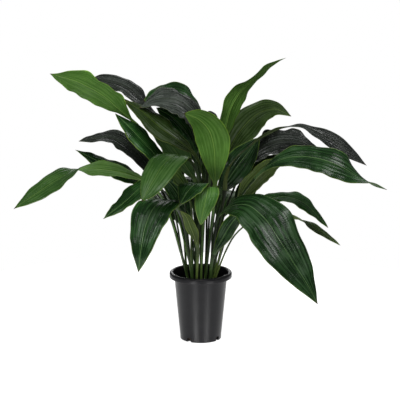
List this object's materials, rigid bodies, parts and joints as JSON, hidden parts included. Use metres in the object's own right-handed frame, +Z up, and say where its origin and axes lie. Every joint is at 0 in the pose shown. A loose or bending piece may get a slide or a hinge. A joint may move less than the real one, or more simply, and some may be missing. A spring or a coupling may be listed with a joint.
{
  "type": "potted cast iron plant",
  "caption": "Potted foliage plant: broad arching leaves on long stalks rise from soil in a tapered round nursery pot with a rolled lip and drain notches.",
  "frame": {"origin": "middle of the pot's underside, on the surface that it stands on", "axes": "+Z up along the pot's axis, +X to the right across the plant's widest spread of leaves, +Y to the back"},
  "size_m": [1, 0.6288, 0.77],
  "materials": {
    "pot_plastic": "satin",
    "soil": "matte",
    "leaf": "satin"
  },
  "bodies": {
    "root": {"nursery_pot": "pot_plastic", "potting_soil": "soil", "upper_left_leaf": "leaf", "upper_left_dark_leaf": "leaf", "slim_grey_leaf": "leaf", "mid_left_broad_leaf": "leaf", "shaded_left_leaf": "leaf", "grey_streaked_leaf": "leaf", "dark_left_leaf": "leaf", "long_left_leaf": "leaf", "lower_left_dark_leaf": "leaf", "front_left_bright_leaf": "leaf", "front_left_hanging_leaf": "leaf", "low_slender_leaf": "leaf", "lower_centre_leaf": "leaf", "hanging_centre_leaf": "leaf", "centre_broad_leaf": "leaf", "front_right_broad_leaf": "leaf", "left_of_centre_leaf": "leaf", "inner_left_leaf": "leaf", "inner_upper_left_leaf": "leaf", "inner_low_left_leaf": "leaf", "top_arching_leaf": "leaf", "top_rear_leaf": "leaf", "small_bent_back_leaf": "leaf", "tall_upright_leaf": "leaf", "top_right_dark_leaf": "leaf", "long_arching_right_leaf": "leaf", "crumpled_right_leaf": "leaf", "broad_right_leaf": "leaf", "inner_right_leaf": "leaf", "inner_dark_leaf": "leaf", "lower_right_dark_leaf": "leaf", "slim_right_leaf": "leaf", "inner_rear_right_leaf": "leaf", "inner_upright_right_leaf": "leaf", "low_right_leaf": "leaf", "back_tall_leaf": "leaf", "back_centre_leaf": "leaf", "back_right_leaf": "leaf", "back_left_leaf": "leaf", "back_low_left_leaf": "leaf", "back_low_right_leaf": "leaf", "back_short_leaf": "leaf", "back_upright_leaf": "leaf"}
  },
  "joints": []
}
